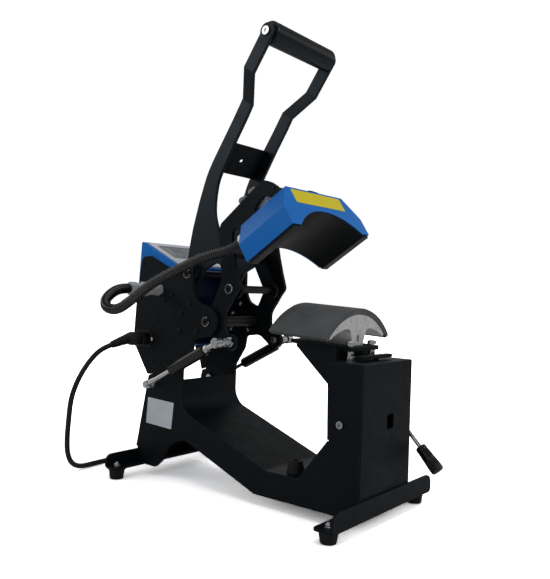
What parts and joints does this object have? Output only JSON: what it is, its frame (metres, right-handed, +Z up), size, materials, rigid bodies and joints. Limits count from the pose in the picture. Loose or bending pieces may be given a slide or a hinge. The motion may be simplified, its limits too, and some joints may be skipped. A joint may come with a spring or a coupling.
{
  "type": "cap heat press",
  "caption": "Clamshell cap heat press: curved heater on a toggle arm with gas springs over a curved lower platen on a pedestal, with a cap clamp lever and a sloped control box behind.",
  "frame": {"origin": "centre of the bottom of the machine's bounding box, measured without the mains lead, on the plane the rubber feet stand on; the machine's own mid plane is X = 22.1 mm, because the cable conduit bows out on the -X side", "axes": "+Z up, -Y towards the operator's pedestal end, +X to the operator's right"},
  "size_m": [0.2898, 0.534, 0.5845],
  "materials": {
    "black_powder_coat": "fine-textured black powder coat",
    "blue_paint": "glossy blue enamel",
    "cast_aluminium": "bare sand-cast aluminium, brushed on the top",
    "bright_steel": "bright zinc plate",
    "dark_steel": "black oxide steel",
    "ground_steel": "ground bright steel",
    "black_rubber": "moulded matt rubber",
    "grey_pad": "silicone sponge",
    "grip_foam": "foamed rubber sleeve",
    "black_plastic": "moulded black plastic",
    "gloss_black": "polished black phenolic",
    "platen_coat": "dark non-stick coat",
    "insulation": "pressed fibre wool",
    "panel_film": "pale grey printed film, bare",
    "button_film": "domed button",
    "board_green": "printed circuit board",
    "rocker_red": "red rocker",
    "cable_black": "black sheath"
  },
  "bodies": {
    "root": {"side_plate_left": "black_powder_coat", "side_plate_right": "black_powder_coat", "pedestal_cover": "black_powder_coat", "spine_cover": "black_powder_coat", "front_foot_bar": "black_powder_coat", "rear_foot_bar": "black_powder_coat", "rubber_feet": "black_rubber", "rubber_buffers": "black_rubber", "frame_screws": "bright_steel", "lower_platen": "cast_aluminium", "lower_pad": "grey_pad", "lower_support": "black_powder_coat", "platen_posts": "bright_steel", "pivot_shafts": "dark_steel", "shaft_rings": "bright_steel", "gas_studs_rear": "bright_steel", "control_box_cover": "blue_paint", "control_box_sides": "black_powder_coat", "display_panel": "panel_film", "control_board": "board_green", "power_inlet": "black_plastic", "switch_housing": "black_plastic", "conduit_gland_box": "bright_steel", "cable_conduit": "cable_black", "cord_connector": "cable_black", "power_cord": "cable_black", "cord_coil": "cable_black", "mains_plug": "cable_black"},
    "platen_arm": {"arm_plate_left": "black_powder_coat", "arm_plate_right": "black_powder_coat", "pivot_tube": "black_powder_coat", "toggle_shaft": "dark_steel", "arm_tie_rod": "dark_steel", "gas_studs_front": "bright_steel", "arm_bridge": "black_powder_coat", "platen_casting": "cast_aluminium", "pressure_bolts": "bright_steel", "heater_cover": "blue_paint", "heating_platen": "platen_coat", "insulation_pad": "insulation", "conduit_gland_heater": "bright_steel"},
    "handle": {"handle_arm_left": "black_powder_coat", "handle_arm_right": "black_powder_coat", "handle_cross_plate": "black_powder_coat", "handle_grip": "grip_foam", "grip_rod": "dark_steel", "link_pin": "dark_steel"},
    "links": {"toggle_links": "black_powder_coat"},
    "spring_rod_left": {"gas_rod_left": "ground_steel"},
    "spring_rod_right": {"gas_rod_right": "ground_steel"},
    "spring_tube_left": {"gas_tube_left": "black_powder_coat"},
    "spring_tube_right": {"gas_tube_right": "black_powder_coat"},
    "clamp_lever_body": {"clamp_shaft": "ground_steel", "clamp_lever": "bright_steel", "lever_knob": "gloss_black"},
    "clamp_bar_body": {"clamp_bar": "black_powder_coat"},
    "key_up": {"button_up": "button_film"},
    "key_down": {"button_down": "button_film"},
    "key_set": {"button_set": "button_film"},
    "rocker": {"switch_rocker": "rocker_red"}
  },
  "joints": [
    {"name": "platen_arm_swing", "type": "hinge", "parent": "root", "child": "platen_arm", "pos_m": [0.0221, 0.0667, 0.2175], "axis": [1, 0, 0], "range_deg": [0, 36.4], "stiffness_Nm_per_rad": 3, "springref_deg": -126.05, "deforming": ["cable_conduit"]},
    {"name": "handle_swing", "type": "hinge", "parent": "root", "child": "handle", "pos_m": [0.0221, 0.1034, 0.2796], "axis": [1, 0, 0], "range_deg": [0, 43]},
    {"name": "link_swing", "type": "hinge", "parent": "handle", "child": "links", "pos_m": [0.0221, 0.0562, 0.304], "axis": [1, 0, 0], "range_deg": [-64, 0]},
    {"name": "spring_swing_left", "type": "hinge", "parent": "root", "child": "spring_rod_left", "pos_m": [-0.0504, 0.1552, 0.1285], "axis": [1, 0, 0], "range_deg": [0, 3.6]},
    {"name": "spring_swing_right", "type": "hinge", "parent": "root", "child": "spring_rod_right", "pos_m": [0.0946, 0.1552, 0.1285], "axis": [1, 0, 0], "range_deg": [0, 3.6]},
    {"name": "spring_stroke_left", "type": "slide", "parent": "spring_rod_left", "child": "spring_tube_left", "axis": [0, -0.889, 0.4579], "range_m": [-0.0275, 0]},
    {"name": "spring_stroke_right", "type": "slide", "parent": "spring_rod_right", "child": "spring_tube_right", "axis": [0, -0.889, 0.4579], "range_m": [-0.0275, 0]},
    {"name": "clamp_lever_swing", "type": "hinge", "parent": "root", "child": "clamp_lever_body", "pos_m": [0.0221, -0.1448, 0.115], "axis": [1, 0, 0], "range_deg": [-40, 0]},
    {"name": "clamp_bar_lift", "type": "slide", "parent": "root", "child": "clamp_bar_body", "axis": [0, 0, 1], "range_m": [0, 0.0098]},
    {"name": "key_press_up", "type": "slide", "parent": "root", "child": "key_up", "axis": [0, 0.4216, -0.9068], "range_m": [0, 0.0009], "stiffness_N_per_m": 350, "springref_m": -0.0006},
    {"name": "key_press_down", "type": "slide", "parent": "root", "child": "key_down", "axis": [0, 0.4216, -0.9068], "range_m": [0, 0.0009], "stiffness_N_per_m": 350, "springref_m": -0.0006},
    {"name": "key_press_set", "type": "slide", "parent": "root", "child": "key_set", "axis": [0, 0.4216, -0.9068], "range_m": [0, 0.0009], "stiffness_N_per_m": 350, "springref_m": -0.0006},
    {"name": "rocker_tilt", "type": "hinge", "parent": "root", "child": "rocker", "pos_m": [0.0704, 0.1792, 0.226], "axis": [0, 0, 1], "range_deg": [0, 13]}
  ],
  "couplings": [
    {"joint": "handle_swing", "follows": "platen_arm_swing", "ratio": 1.175},
    {"joint": "link_swing", "follows": "platen_arm_swing", "ratio": -1.74},
    {"joint": "spring_swing_left", "follows": "platen_arm_swing", "ratio": 0.094},
    {"joint": "spring_swing_right", "follows": "platen_arm_swing", "ratio": 0.094},
    {"joint": "spring_stroke_left", "follows": "platen_arm_swing", "m_per_rad": -0.041826},
    {"joint": "spring_stroke_right", "follows": "platen_arm_swing", "m_per_rad": -0.041826},
    {"joint": "clamp_bar_lift", "follows": "clamp_lever_swing", "m_per_rad": -0.01366}
  ]
}
